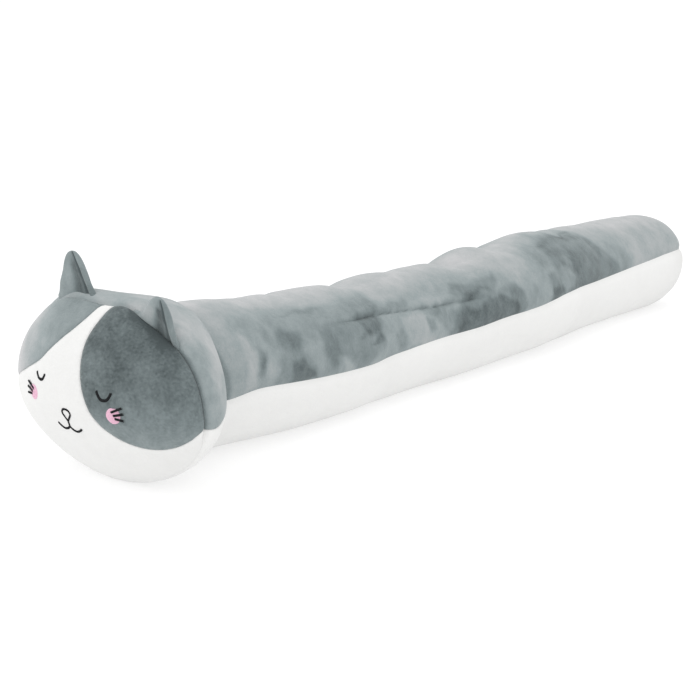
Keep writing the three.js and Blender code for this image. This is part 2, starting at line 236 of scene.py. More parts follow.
def plushMaterial(name, look):
    material, start = newMaterial(name)
    spot = start.node("ShaderNodeTexCoord", out="Object")
    # the attribute holds the pile's tone together with painted light and painted shade
    nap = start.node("ShaderNodeAttribute", {"attribute_name": "nap"}, out="Fac")
    blotch = start.node("ShaderNodeTexNoise", {}, {
        "Vector": spot, "Scale": 55, "Detail": 5, "Roughness": 0.6})
    squeezed = start.node("ShaderNodeMapping", {}, {"Vector": spot, "Scale": (1, 0.6, 0.6)})
    brushed = start.node("ShaderNodeTexNoise", {}, {
        "Vector": squeezed, "Scale": 170, "Detail": 3, "Distortion": 0.6})
    pile = start.node("ShaderNodeTexNoise", {}, {
        "Vector": spot, "Scale": 520, "Detail": 3, "Roughness": 0.65})
    tuft = start.node("ShaderNodeTexVoronoi", {}, {"Vector": spot, "Scale": 900, "Randomness": 1})
    tone = nap * look["napAndLightGain"] + (blotch - 0.5) * look["blotchGain"] + (brushed - 0.5) * look["brushGain"]
    tone = tone + (pile - 0.5) * look["pileGain"] + look["middle"]
    colour = start.node("ShaderNodeValToRGB", {"stops": look["stops"]}, {"Fac": tone})
    depth = pile * 0.7 + tuft * 0.5
    lumps = start.node("ShaderNodeBump", {}, {"Height": depth, "Strength": look["bump"], "Distance": 0.0012})
    shader = start.node("ShaderNodeBsdfPrincipled", {}, {
        "Base Color": colour, "Roughness": look["roughness"], "Specular IOR Level": 0.15,
        "Sheen Weight": look["sheen"], "Sheen Roughness": 0.45, "Sheen Tint": (0.92, 0.95, 0.95, 1),
        "Normal": lumps})
    start.node("ShaderNodeOutputMaterial", {}, {"Surface": shader})
    return material


greyLook = dict(napAndLightGain=0.36, blotchGain=0.3, brushGain=0.2, pileGain=0.16, middle=0.5, bump=0.35,
                roughness=0.95, sheen=0.2,
                stops=[(0.0, (0.066, 0.082, 0.085)), (0.25, (0.172, 0.205, 0.21)), (0.5, (0.272, 0.31, 0.316)),
                       (0.75, (0.4, 0.414, 0.419)), (1.0, (0.53, 0.522, 0.532))])
whiteLook = dict(napAndLightGain=0.3, blotchGain=0.3, brushGain=0.2, pileGain=0.25, middle=0.5, bump=0.25,
                 roughness=0.95, sheen=0.1,
                 stops=[(0.0, (0.665, 0.664, 0.655)), (0.5, (0.745, 0.744, 0.735)),
                        (1.0, (0.795, 0.794, 0.785))])
grey = plushMaterial("greyPlush", greyLook), "grey_plush"  # with the slot's name
white = plushMaterial("whitePlush", whiteLook), "white_plush"


def threadMaterial(name, colour, shade):
    material, start = newMaterial(name)
    spot = start.node("ShaderNodeTexCoord", out="Object")
    fibre = start.node("ShaderNodeTexNoise", {}, {"Vector": spot, "Scale": 2600, "Detail": 2})
    hue = start.node("ShaderNodeValToRGB", {"stops": [(0.3, shade), (0.7, colour)]}, {"Fac": fibre})
    twist = start.node("ShaderNodeBump", {}, {"Height": fibre, "Strength": 0.3, "Distance": 0.0002})
    shader = start.node("ShaderNodeBsdfPrincipled", {}, {
        "Base Color": hue, "Roughness": fibre * 0.2 + 0.55, "Specular IOR Level": 0.2, "Normal": twist})
    start.node("ShaderNodeOutputMaterial", {}, {"Surface": shader})
    return material


black = threadMaterial("blackThread", (0.014, 0.015, 0.017), (0.005, 0.006, 0.007)), "black_thread"
pink = threadMaterial("pinkThread", (0.84, 0.56, 0.68), (0.74, 0.44, 0.57)), "pink_thread"
print("materials made")


# camera, light and floor
def aimed(piece, place, aim):
    piece.location = place
    piece.rotation_euler = (Vector(aim) - Vector(place)).to_track_quat("-Z", "Y").to_euler()
    bpy.context.collection.objects.link(piece)


view = dict(eye=(-0.9202, -0.6486, 0.2874), aim=(-0.1534, 0.0, 0.0454), sensor=36, focal=1200 / 700 * 36)
camera = bpy.data.objects.new("camera", bpy.data.cameras.new("camera"))
camera.data.lens, camera.data.sensor_width = view["focal"], view["sensor"]
aimed(camera, view["eye"], view["aim"])
bpy.context.scene.camera = camera
bpy.context.scene.view_settings.view_transform = "Standard"

lamps = [
    dict(name="top", place=(-0.3, -0.3, 2.2), aim=(0, 0, 0.05), size=2.6, watts=11),
    dict(name="front", place=(-2.4, -1.2, 1.3), aim=(-0.2, 0, 0.05), size=1.8, watts=6),
    dict(name="left", place=(-1.7, 1.5, 0.8), aim=(-0.4, 0, 0.06), size=1.2, watts=7),
    dict(name="side", place=(0.6, -2.4, 1.3), aim=(0.1, 0, 0.05), size=2.0, watts=5),
]
for lamp in lamps:
    light = bpy.data.objects.new(lamp["name"] + "Light", bpy.data.lights.new(lamp["name"], "AREA"))
    light.data.energy, light.data.size = lamp["watts"], lamp["size"]
    aimed(light, lamp["place"], lamp["aim"])
world = bpy.data.worlds.new("studio")
world.use_nodes = True
background = world.node_tree.nodes["Background"].inputs
background["Color"].default_value, background["Strength"].default_value = (1, 1, 1, 1), 1.0
bpy.context.scene.world = world

sweep = dict(near=-3.0, bend=3.0, radius=1.5, top=4.0, half=5.0, steps=16)  # floor that curves up into a wall
profile = [(sweep["near"], 0.0)]
for step in range(sweep["steps"] + 1):
    turn = step / sweep["steps"] * math.pi / 2
    profile.append((sweep["bend"] + sweep["radius"] * math.sin(turn), sweep["radius"] * (1 - math.cos(turn))))
profile.append((sweep["bend"] + sweep["radius"], sweep["top"]))
away = Vector(view["aim"]) - Vector(view["eye"])
away.z = 0
away.normalize()
across = Vector((-away.y, away.x, 0))
floorPoints = [away * run + across * side + Vector((0, 0, rise)) for run, rise in profile
               for side in (-sweep["half"], sweep["half"])]
floorFaces = [(2 * i, 2 * i + 2, 2 * i + 3, 2 * i + 1) for i in range(len(profile) - 1)]
floor = makeObject("floor", [np.array(p) * metre for p in floorPoints], floorFaces)
paper, start = newMaterial("paper")
spot = start.node("ShaderNodeTexCoord", out="Object")
grain = start.node("ShaderNodeTexNoise", {}, {"Scale": 3, "Vector": spot})
tint = start.node("ShaderNodeValToRGB", {"stops": [(0.3, (0.5, 0.5, 0.5)), (0.7, (0.52, 0.52, 0.52))]},
                  {"Fac": grain})
start.node("ShaderNodeOutputMaterial", {}, {
    "Surface": start.node("ShaderNodeBsdfPrincipled", {}, {
        "Base Color": tint, "Roughness": 0.9, "Emission Color": (1, 1, 1, 1), "Emission Strength": 0.5})})
floor.data.materials.append(paper)
print("camera, light and floor set")


# the roll
roll = dict(fineAlong=6, fineRound=6, seamDepth=1.5, seamWidth=2.6, neckDepth=1.5, neckRun=9.0,
            lumpSize=45.0, lumpDepth=0.9, rippleSize=14.0, rippleDepth=0.3, topTurn=100, topSpread=38,
            wrinkleGain=0.3, wrinkleCap=1.0, bellyShare=0.4, tailRows=5, sharpAngle=55)
tubeSim = dict(step=3, frames=20, pressure=40.0, seamShrink=0.03, clothGrow=-0.03, slackTail=40, restBelow=0.4,
               fineBlur=0.7, broadBlur=5.0)
# the top line rises and dips between the panels' sections: mm from the face, mm up
topLine = [(135, 0), (160, 1.7), (190, 2.3), (208, 0.6), (222, 2.6), (262, 2.5), (286, -0.8), (310, 1.0),
           (335, 2.2), (370, 1.4), (392, 1.8), (412, 1.2), (432, -3.6), (450, 0), (477, 3.0), (508, -3.0),
           (540, -1.0), (575, 2.4), (600, 1.0), (620, -1.2), (650, 0.3), (700, 0.3), (760, 0)]

# fine creases on the near side: mm from the face, degrees up from the side, run, spread, lean, depth
creases = [
    (139, 12, 3.0, 12, 0.0, 0.7),
    (172, 8, 4.0, 9, -0.3, 0.5),
    (253, 32, 3.0, 7, 0.0, 0.5),
    (267, 17, 3.5, 12, 0.0, 0.7),
    (303, 15, 3.0, 10, -0.3, 0.6),
    (341, 20, 3.0, 9, 0.0, 0.5),
    (372, 14, 4.0, 12, 0.0, 0.5),
    (497, 18, 5.0, 14, -0.2, 0.5),
    (556, 20, 4.5, 14, -0.3, 0.8),
    (590, 28, 5.0, 18, -0.3, 0.6),
    (252, 62, 11.0, 2.5, 0.0, 0.5),
]
# tone darkens the crease: painted shade
longCrease = dict(path=[(185, 39), (240, 40), (280, 41), (300, 38), (320, 35.5), (345, 33.5),
                        (378, 31.5), (440, 30)],
                  width=1.7, depth=2.0, tone=-0.3, fadeIn=(175, 275), fadeOut=(400, 450),
                  lip=0.7, lipTurn=6, lipWidth=4)  # the cloth stands up a little above the crease

# tone marks on the near side, mostly the pile brushed lighter or darker; the first is painted shadow in the
# neck crease: tone, soft edge, outline in mm from the face and degrees up
marks = [
    # painted shadow in the neck crease
    (-0.7, 2.5, [(90, 45), (99, 40), (102, 26), (107, 8), (109, -12), (94, -16)]),
    (0.15, 5, [(107, 58), (122, 56), (123, 14), (109, 14)]),
    (0.4, 3, [(125, 36), (133, 34), (134, 10), (133, -6), (124, -5), (124, 14)]),
    (-0.5, 2.5, [(137, 28), (144, 26), (144, 14), (138, 2), (135, 4)]),
    (-0.4, 1.5, [(140, 22), (143, 21), (142, 12), (139, 11)]),
    (0.2, 2, [(145, 22), (152, 20), (150, 6), (142, 6)]),
    (-0.55, 4, [(162, 40), (182, 40), (182, 24), (194, 6), (196, -5), (152, -5), (158, 14)]),
    (-0.5, 2.5, [(170, 13), (181, 18), (195, -3), (168, -3)]),
    (-0.5, 4, [(206, 42), (286, 44), (280, 30), (276, 10), (258, -5), (244, -5), (234, 9), (222, 10),
        (214, -5), (203, -5)]),
    (-0.3, 4, [(206, 36), (220, 36), (222, 14), (214, 4), (206, 10)]),
    (-0.4, 3, [(250, 44), (272, 50), (286, 49), (280, 36), (252, 38)]),
    (-0.45, 2, [(260, 13), (274, 23), (277, 14), (268, 11)]),
    (-0.25, 2, [(246, 22), (262, 32), (264, 28), (250, 20)]),
    (0.2, 2, [(224, 10), (232, 9), (243, -4), (228, -4)]),
    (-0.4, 3, [(254, 36), (286, 37), (284, 24), (258, 23)]),
    (-0.35, 5, [(145, 44), (205, 44), (205, 28), (184, 24), (150, 24)]),
    (-0.25, 6, [(252, 74), (284, 76), (288, 50), (252, 48)]),
    (-0.4, 3, [(338, 36), (364, 35), (362, 24), (340, 24)]),
    (-0.35, 1.5, [(178, 54), (196, 58), (220, 61.5), (224, 58), (200, 54.5), (182, 52)]),
    (-0.3, 5, [(150, 70), (180, 66), (200, 62), (246, 62), (282, 68), (288, 50), (284, 44), (206, 44),
        (160, 46)]),
    (-0.3, 2.5, [(285, 48), (322, 48), (332, 42), (326, 38), (285, 41)]),
    (0.3, 4, [(290, 56), (300, 50), (334, 52), (345, 64), (345, 80), (290, 80)]),
    (-0.35, 2.5, [(293, 20), (306, 21), (309, 12), (305, 3), (297, 5)]),
    (0.3, 3, [(307, 28), (343, 28), (343, 12), (350, 2), (310, 0), (310, 14)]),
    (-0.5, 2, [(342, 23), (350, 22), (350, 13), (344, 13)]),
    (-0.45, 4, [(352, 32), (384, 34), (382, 6), (366, 4), (354, 18)]),
    (0.25, 2, [(372, 30), (394, 34), (396, 29), (384, 25), (370, 20)]),
    (-0.5, 3.5, [(370, 5), (376, 14), (384, 22), (402, 23), (420, 21), (432, 27), (446, 25), (462, 20),
        (476, 13), (480, -4), (372, -4)]),
    (-0.6, 5, [(386, 26), (398, 38), (430, 41), (454, 32), (482, 29), (494, 20), (492, -5), (378, -5)]),
    (-0.55, 4, [(383, 42), (392, 51), (414, 48), (440, 51), (456, 49), (454, 36), (384, 34)]),
    (-0.25, 5, [(470, 29), (512, 29), (521, 18), (518, -3), (470, -3)]),
    (0.3, 5, [(452, 58), (468, 42), (505, 36), (516, 56), (510, 74), (440, 78)]),
    (-0.55, 3, [(536, 29), (551, 29), (553, 16), (549, 0), (540, 2)]),
    (-0.35, 8, [(530, 78), (548, 92), (580, 96), (560, 60), (545, 40), (532, 44)]),
    (-0.4, 3, [(538, 14), (561, 14), (564, 0), (536, 0)]),
    (-0.6, 7, [(556, 62), (572, 92), (588, 104), (632, 104), (655, 82), (640, 64)]),
    (-0.75, 6, [(552, 4), (556, 40), (556, 62), (580, 72), (603, 78), (614, 68), (640, 67), (662, 67),
        (670, 56), (682, 38), (696, 22), (704, 2), (660, 0), (600, 0)]),
    (-0.22, 5, [(587, 0), (589, 34), (604, 46), (622, 46), (642, 38), (656, 24), (662, 0)]),
    (0.42, 3, [(559, 29), (566, 33), (578, 31), (587, 21), (581, 10), (566, 6), (558, 12)]),
    (0.25, 2, [(574, 40), (590, 40), (594, 33), (580, 33)]),
    (-0.45, 6, [(612, 66), (632, 84), (655, 84), (664, 70), (650, 62)]),
    (-0.4, 1.5, [(606, 67), (640, 81), (645, 79), (612, 65)]),
    (-0.2, 8, [(690, 50), (715, 40), (735, 20), (735, 4), (705, 4)]),
    (0.3, 10, [(720, 80), (890, 80), (895, 2), (730, 2)]),
    (0.05, 8, [(680, 78), (790, 78), (790, 104), (690, 104)]),
]


def halfRings(node):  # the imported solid's own sections, from seam to seam
    mesh = frame["nodes"][node].data
    raw = np.empty(len(mesh.vertices) * 3)
    mesh.vertices.foreach_get("co", raw)
    points = np.unique(np.round(raw.reshape(-1, 3) * metre, 3), axis=0)
    rings, pole = [], None
    for x in np.unique(np.round(points[:, 0], 1)):
        ring = points[np.abs(points[:, 0] - x) < 0.11]
        if len(ring) < 5:
            pole = ring.mean(0)
            continue
        middle = ring.mean(0)
        if len(ring) % 2 == 0:  # the end cap's middle point
            box = (ring.min(0) + ring.max(0)) / 2
            inner = np.argmin(np.linalg.norm(ring - (middle + box) / 2, axis=1))
            ring = np.delete(ring, inner, 0)
        angle = np.arctan2(ring[:, 2] - middle[2], ring[:, 1] - middle[1])
        order = np.argsort(angle)
        ring, angle = ring[order], angle[order]
        gaps = np.diff(np.append(angle, angle[0] + 2 * np.pi))
        ring = np.roll(ring, -(np.argmax(gaps) + 1), axis=0)
        rings.append(ring)
    return rings, pole


backRings, poleA = halfRings("body_back")
bellyRings, poleB = halfRings("body_belly")
control = []
for back, belly in zip(backRings, bellyRings):
    back = back if back[0, 1] < back[-1, 1] else back[::-1]  # near seam first
    belly = belly if belly[0, 1] > belly[-1, 1] else belly[::-1]  # far seam first
    near, far = (back[0] + belly[-1]) / 2, (back[-1] + belly[0]) / 2
    control.append(np.vstack([near, back[1:-1], far, belly[1:-1]]))
control = np.array(control + [np.tile((poleA + poleB) / 2, (len(control[0]), 1))])
grid = refine(control, roll["fineAlong"])
grid = refine(grid.transpose(1, 0, 2), roll["fineRound"], wrap=True).transpose(1, 0, 2)
rowCount, aroundCount = grid.shape[:2]
half = aroundCount // 2
grid[:, :, 2] = np.maximum(grid[:, :, 2], 0)


def gridNormals(g):
    along = np.gradient(g, axis=0)
    around = np.roll(g, -1, 1) - np.roll(g, 1, 1)
    normal = np.cross(along, around)
    normal[-1] = (1, 0, 0)
    return unit(normal)


def rollNoise(points, size, seed):
    return softNoise(points, size, seed).reshape(rowCount, aroundCount)


def rollPlaces(g):  # where each grid point is: mm from the face, degrees up from the near side
    low, high = g.min(1, keepdims=True), g.max(1, keepdims=True)
    middle, reach = (low + high) / 2, np.maximum((high - low) / 2, 1e-6)
    offset = (g - middle) / reach
    return g[:, :, 0] - faceX, np.degrees(np.arctan2(offset[:, :, 2], -offset[:, :, 1]))


def gridSmooth(values, sigma):
    reach = int(sigma * 3)
    kernel = bell(np.arange(-reach, reach + 1), sigma * 1.414)
    kernel /= kernel.sum()
    padded = np.pad(values, ((reach, reach), (0, 0)), mode="edge")
    rows = sum(k * padded[i:i + len(values)] for i, k in enumerate(kernel))
    return sum(k * np.roll(rows, i - reach, 1) for i, k in enumerate(kernel))


def sewnWrinkles(coarse):  # inflate the sewn tube and keep the puckers that its tight seams make
    rows, around = coarse.shape[:2]
    points = list(coarse[:-1].reshape(-1, 3)) + [coarse[-1, 0], coarse[0].mean(0)]
    tail, plug = len(points) - 2, len(points) - 1
    faces = []
    for i in range(rows - 2):
        faces += [quad(i, j, (j + 1) % around, around) for j in range(around)]
    last = (rows - 2) * around
    for j in range(around):
        k = (j + 1) % around
        faces.append((last + k, last + j, tail))
        faces.append((j, k, plug))
    tube = makeObject("sewnTube", points, faces)
    pin = tube.vertex_groups.new(name="held")
    pin.add(list(range(around)) + [plug, tail], 1.0, "REPLACE")
    resting = [i for i, p in enumerate(points) if p[2] < tubeSim["restBelow"]]
    pin.add(resting, 1.0, "REPLACE")
    tight = tube.vertex_groups.new(name="tight")
    sewnRows = range(rows - tubeSim["slackTail"])
    for j, amount in ((0, 1.0), (1, 0.5), (-1, 0.5)):
        for side in (0, around // 2):
            tight.add([i * around + (side + j) % around for i in sewnRows], amount, "REPLACE")
    cloth = tube.modifiers.new("cloth", "CLOTH")
    fabric = cloth.settings
    fabric.quality, fabric.mass, fabric.air_damping = 6, 0.25, 2.0
    fabric.tension_stiffness = fabric.compression_stiffness = 30
    fabric.shear_stiffness, fabric.bending_stiffness = 6, 0.3
    fabric.use_pressure, fabric.uniform_pressure_force = True, tubeSim["pressure"]
    fabric.effector_weights.gravity = 0
    fabric.vertex_group_mass = "held"
    fabric.vertex_group_shrink = "tight"
    fabric.shrink_min, fabric.shrink_max = tubeSim["clothGrow"], tubeSim["seamShrink"]
    cloth.collision_settings.use_collision = False
    scene = bpy.context.scene
    cloth.point_cache.frame_start, cloth.point_cache.frame_end = 1, tubeSim["frames"]
    for step in range(1, tubeSim["frames"] + 1):
        scene.frame_set(step)
    seen = tube.evaluated_get(bpy.context.evaluated_depsgraph_get())
    moved = np.empty(len(seen.data.vertices) * 3)
    seen.data.vertices.foreach_get("co", moved)
    moved = moved.reshape(-1, 3) * metre
    scene.frame_set(1)
    bpy.data.objects.remove(tube)
    shift = (moved[:-2] - np.array(points[:-2])).reshape(rows - 1, around, 3)
    shift = np.concatenate([shift, np.zeros((1, around, 3))])
    out = (shift * gridNormals(coarse)).sum(2)
    return gridSmooth(out, tubeSim["fineBlur"]) - gridSmooth(out, tubeSim["broadBlur"])


wrinkles = np.zeros((rowCount, aroundCount))
step = tubeSim["step"]
coarse = sewnWrinkles(grid[::step, ::step])
wrinkles = refine(refine(coarse, step).T, step, wrap=True).T
print("roll inflated: puckers between", round(wrinkles.min(), 2), "and", round(wrinkles.max(), 2), "mm")
wrinkles = roll["wrinkleCap"] * np.tanh(wrinkles * roll["wrinkleGain"] / roll["wrinkleCap"])
wrinkles[:, half + 1:] *= roll["bellyShare"]
at, turn = rollPlaces(grid)
normals = gridNormals(grid)
flat = grid.reshape(-1, 3)
lift = wrinkles.copy()
lift += roll["lumpDepth"] * rollNoise(flat, roll["lumpSize"], 3)
lift += roll["rippleDepth"] * rollNoise(flat, roll["rippleSize"], 5)
lift += smoothAt(topLine, at) * bell(turn - roll["topTurn"], roll["topSpread"])
for creaseAt, creaseTurn, run, spread, lean, depth in creases:
    aside = at - creaseAt - lean * (turn - creaseTurn)
    lift -= depth * bell(aside, run) * bell(turn - creaseTurn, spread)
line = smoothAt(longCrease["path"], at)
creaseEnds = easeStep(at, *longCrease["fadeIn"]) * (1 - easeStep(at, *longCrease["fadeOut"]))
lift -= longCrease["depth"] * creaseEnds * bell(turn - line, longCrease["width"])
lip = bell(turn - line - longCrease["lipTurn"], longCrease["lipWidth"])
lift += longCrease["lip"] * longCrease["depth"] * creaseEnds * lip
around = np.arange(aroundCount)
steps = np.minimum(np.minimum(around % half, half - around % half), 20)
size = np.linalg.norm(np.roll(grid, -1, 1) - grid, axis=2)
offSeam = steps[None, :] * size  # mm round from the nearest seam
lift -= roll["seamDepth"] * bell(offSeam, roll["seamWidth"])
lift -= roll["neckDepth"] * (1 - easeStep(at - at.min(), 0, roll["neckRun"])) ** 1.5
lift *= offFloor(grid) * easeStep(rowCount - 1 - np.arange(rowCount), 0, roll["tailRows"])[:, None]
shaped = grid + normals * lift[:, :, None]
shaped[:, :, 2] = np.maximum(shaped[:, :, 2], 0)


# tones of the pile, with painted sheen and painted shade
def wander(seed):  # uneven edges of the marks
    return rollNoise(flat, 19, seed) * 3.0 + rollNoise(flat, 7, seed + 1) * 1.6


def streaks(size, seed):  # long round the roll, narrow along it
    squeezed = np.column_stack([at.ravel(), turn.ravel() * 0.2, 0 * at.ravel()])
    return rollNoise(squeezed, size, seed)


atW, turnW = at + wander(21), turn + wander(23) + streaks(8, 25) * 2.5
paintedTopSheen = dict(tone=0.8, grows=(45, 92), fades=(115, 160), streak=0.1)  # painted sheen: paler towards the top, in degrees up
nearNapAndLight = paintedTopSheen["tone"] * easeStep(turn, *paintedTopSheen["grows"]) * (1 - easeStep(turn, *paintedTopSheen["fades"]))
nearNapAndLight = brush(nearNapAndLight + streaks(14, 27) * paintedTopSheen["streak"], atW, turnW, marks)
stretched = np.column_stack([at.ravel(), np.abs(turn).ravel() * 0.25, np.zeros(at.size)])
farNap = rollNoise(stretched, 34, 31) * 0.6 + rollNoise(stretched, 11, 32) * 0.3
farSide = easeStep(np.abs(turn), 95, 130)
# painted shade in the long crease
nearNapAndLight += longCrease["tone"] * creaseEnds * bell(turn - line, longCrease["width"])
nap = nearNapAndLight * (1 - farSide) + farNap * (0.2 + 0.8 * farSide)
# low makes the belly paler near the floor: painted light; tail darkens the tail end: painted shade
belly = dict(tone=0.3, mottle=0.4, low=0.25, lowRange=(5, 35), tail=-0.9, tailRange=(760, 880))
whiteNapAndLight = belly["tone"] + rollNoise(flat, 60, 41) * belly["mottle"]
whiteNapAndLight = whiteNapAndLight + belly["low"] * (1 - easeStep(grid[:, :, 2], *belly["lowRange"]))
whiteNapAndLight = whiteNapAndLight + belly["tail"] * easeStep(at, *belly["tailRange"])


def rollHalf(name, columns, values):  # one panel with the filling behind it, closed across from seam to seam
    wide = len(columns)
    points = list(shaped[:-1, columns].reshape(-1, 3)) + [shaped[-1, 0]]
    tail = len(points) - 1
    faces = []
    for i in range(rowCount - 2):
        faces += [quad(i, j, (j + 1) % wide, wide) for j in range(wide)]  # the last one runs from seam to seam
    last = (rowCount - 2) * wide
    faces += [(last + j + 1, last + j, tail) for j in range(wide - 1)]
    faces += [(last, last + wide - 1, tail), tuple(range(wide))]
    piece = makeObject(name, points, faces)
    piece.data.set_sharp_from_angle(angle=math.radians(roll["sharpAngle"]))
    addValues(piece, "nap", np.append(values[:-1, columns].ravel(), values[-1, 0]))
    return piece


bodyBack = rollHalf("bodyBack", np.arange(half + 1), nap)
bodyBelly = rollHalf("bodyBelly", np.arange(half, aroundCount + 1) % aroundCount, whiteNapAndLight)
print("roll made")


# the head
head = dict(length=92, halfWidth=100, height=131, middle=61, widest=43, rest=3, front=1.92, chin=1.52,
            upper=2.3, upperRight=2.1, lower=1.76, lowerRight=2.0, back=1.3, neckHalf=50, neckTop=121,
            neckLow=5, split=54)
rootBulges = [dict(at=38, run=20, turn=114, spread=18, height=5.5),
              dict(at=34, run=14, turn=74, spread=9, height=4.5)]
faceSeam = [(-60, 46), (0, 42), (50, 38), (80, 36.5), (105, 35), (130, 31.5), (200, 16)]  # height, mm back
leftPatch = [(-23, 140), (-17, 126), (-11.5, 112), (-10, 100), (-12, 85), (-16, 72), (-23, 59), (-33, 49),
             (-48, 41.5), (-64, 39), (-78, 41), (-88, 46), (-94.5, 51.5), (-99, 56), (-104, 62), (-112, 80),
             (-112, 140)]
rightPatch = [(112, 140), (112, 54), (92, 60.5), (70, 70.5), (52, 78.5), (35, 87.5), (16, 103), (3.5, 114),
              (-4, 124), (-8, 140)]
seam = dict(depth=2.0, width=1.5, wide=5.0, draw=1.4, patchDepth=0.7, patchWidth=1.8, skin=3.0,
            hidden=0.15, hiddenRange=(-24, -8))


def headReach(x):
    up, down = head["height"] - head["middle"], head["middle"] + head["rest"]
    back = np.clip((head["widest"] - x) / head["widest"], 0, 1)
    front = (1 - back ** head["front"]) ** (1 / head["front"])
    chin = (1 - back ** head["chin"]) ** (1 / head["chin"])
    on = np.clip((x - head["widest"]) / (head["length"] - head["widest"]), 0, 1)
    share = (1 - on ** head["back"]) ** (1 / head["back"])
    ahead = x <= head["widest"]
    neckSide = head["neckHalf"] + (head["halfWidth"] - head["neckHalf"]) * share
    side = np.where(ahead, head["halfWidth"] * front, neckSide)
    neckUp, neckDown = head["neckTop"] - head["middle"], head["middle"] - head["neckLow"]
    above = np.where(ahead, up * front, neckUp + (up - neckUp) * share)
    below = np.where(ahead, down * chin, neckDown + (down - neckDown) * share)
    return side, above, below


def headPower(turn):
    far = np.cos(turn) < 0
    upper = np.where(far, head["upperRight"], head["upper"])
    lower = np.where(far, head["lowerRight"], head["lower"])
    return np.where(np.sin(turn) < 0, lower, upper)


def seamAt(height):
    return smoothAt(faceSeam, height, 12)


def headSpot(x, turn):  # turn 0 is the near side, a quarter turn the top
    side, above, below = headReach(x)
    power = 2 / headPower(turn)
    sideways, rise = signedPower(np.cos(turn), power), signedPower(np.sin(turn), power)
    tall = np.where(rise >= 0, above, below)
    degrees = np.degrees(turn) % 360
    bulge = sum(b["height"] * bell(x - b["at"], b["run"]) * bell(degrees - b["turn"], b["spread"])
                for b in rootBulges)
    off = x - seamAt(head["middle"] + rise * tall)
    draw = -seam["draw"] * bell(off, seam["wide"]) - seam["depth"] * bell(off, seam["width"])
    shown = easeStep(rise * tall, *seam["hiddenRange"])  # hardly seen where white meets white
    draw = draw * (seam["hidden"] + (1 - seam["hidden"]) * shown)
    y = -sideways * (side + draw)
    z = head["middle"] + rise * (tall + draw + bulge)
    return np.stack([x + faceX, y, np.maximum(z, 0)], -1)


seamTurns = np.linspace(0, 2 * np.pi, 721)
seamX = np.full_like(seamTurns, faceSeam[2][1])
for _ in range(8):  # each round comes closer to the seam
    seamX = seamAt(headSpot(seamX, seamTurns)[:, 2])


def seamPlace(turn):
    return np.interp(turn % (2 * np.pi), seamTurns, seamX)


def faceSpot(u, v):  # the face panels as a round map: the middle is the nose, the rim is the seam
    t, turn = np.hypot(u, v), np.arctan2(v, u)
    full = np.arccos(np.clip(1 - seamPlace(turn) / head["widest"], -1, 1))
    return headSpot(head["widest"] * (1 - np.cos(np.minimum(t, 1.0) * full)), turn)


def onFace(across, height):  # the round map's place of a spot seen from the front
    low, high = np.zeros_like(across), np.full_like(across, float(head["widest"]))
    rise = height - head["middle"]
    quarter = np.arctan2(rise, -across)
    power = headPower(quarter)
    for _ in range(36):  # halves the range in which the surface lies
        x = (low + high) / 2
        side, above, below = headReach(x)
        tall = np.where(rise >= 0, above, below)
        share = np.abs(across / side) ** power + np.abs(rise / tall) ** power
        low, high = np.where(share > 1, x, low), np.where(share > 1, high, x)
    side, above, below = headReach(high)
    tall = np.where(rise >= 0, above, below)
    turn = np.arctan2(signedPower(rise / tall, power / 2), signedPower(-across / side, power / 2))
    full = np.arccos(np.clip(1 - seamPlace(turn) / head["widest"], -1, 1))
    t = np.arccos(np.clip(1 - high / head["widest"], -1, 1)) / full
    return t * np.cos(turn), t * np.sin(turn)


def facePuff(points):  # uneven filling
    return 0.7 * softNoise(points, 40, 7) + 0.2 * softNoise(points, 13, 8)


face = dict(spacing=0.0165, rim=420, overrun=0.03, inRim=0.995, pastRim=1.3, clear=0.55)
mapPoints, mapEdges = [], []
rimTurn = np.arange(face["rim"]) / face["rim"] * 2 * np.pi
mapPoints += list(zip(np.cos(rimTurn), np.sin(rimTurn)))
mapEdges += [(i, (i + 1) % face["rim"]) for i in range(face["rim"])]
edgeMap, patchMaps = [], []
for outline in (refine(np.array(rows, float), 10) for rows in (leftPatch, rightPatch)):
    u, v = onFace(outline[:, 0], outline[:, 1])
    keep = np.where(np.hypot(u, v) < face["inRim"])[0]
    run = np.column_stack([u, v])[keep[0]:keep[-1] + 1]
    fine = refine(run, 3)
    lengths = lineLengths(fine)
    run = lineSpots(fine, lengths, np.linspace(0, lengths[-1], int(lengths[-1] / face["spacing"]) + 1))
    ends = [run[a] + unit(run[a] - run[b]) * face["overrun"] for a, b in ((0, 2), (-1, -3))]
    run = np.vstack([ends[0], run, ends[1]])
    turns = np.unwrap([np.arctan2(ends[1][1], ends[1][0]), np.arctan2(ends[0][1], ends[0][0])])
    beyond = np.linspace(turns[0], turns[1], 24)
    patchMaps.append(np.vstack([run, np.column_stack([np.cos(beyond), np.sin(beyond)]) * face["pastRim"]]))
    first = len(mapPoints)
    mapPoints += [tuple(p) for p in run]
    mapEdges += [(first + i, first + i + 1) for i in range(len(run) - 1)]
    edgeMap.append(run)
pitch = face["spacing"]
rows = np.arange(-1, 1, pitch * 0.866)
filler = np.array([(x + (i % 2) * pitch / 2, y) for i, y in enumerate(rows) for x in np.arange(-1, 1, pitch)])
filler = filler[np.hypot(filler[:, 0], filler[:, 1]) < 1 - pitch * 1.6]
rimRows = [np.column_stack([np.cos(rimTurn + k * 0.0075), np.sin(rimTurn + k * 0.0075)]) * (1 - pitch * inset)
           for k, inset in ((1, 0.35), (0, 0.75), (1, 1.2))]
filler = np.vstack([filler] + rimRows)
edgeAll = np.vstack(edgeMap)
clear = np.ones(len(filler), bool)
for spot in edgeAll:
    clear &= np.hypot(*(filler - spot).T) > pitch * face["clear"]
mapPoints += [tuple(p) for p in filler[clear]]
cut = delaunay_2d_cdt([Vector(p) for p in mapPoints], mapEdges, [], 0, 1e-6)
mapped, triangles = np.array([tuple(p) for p in cut[0]]), np.array([tuple(f) for f in cut[2]])
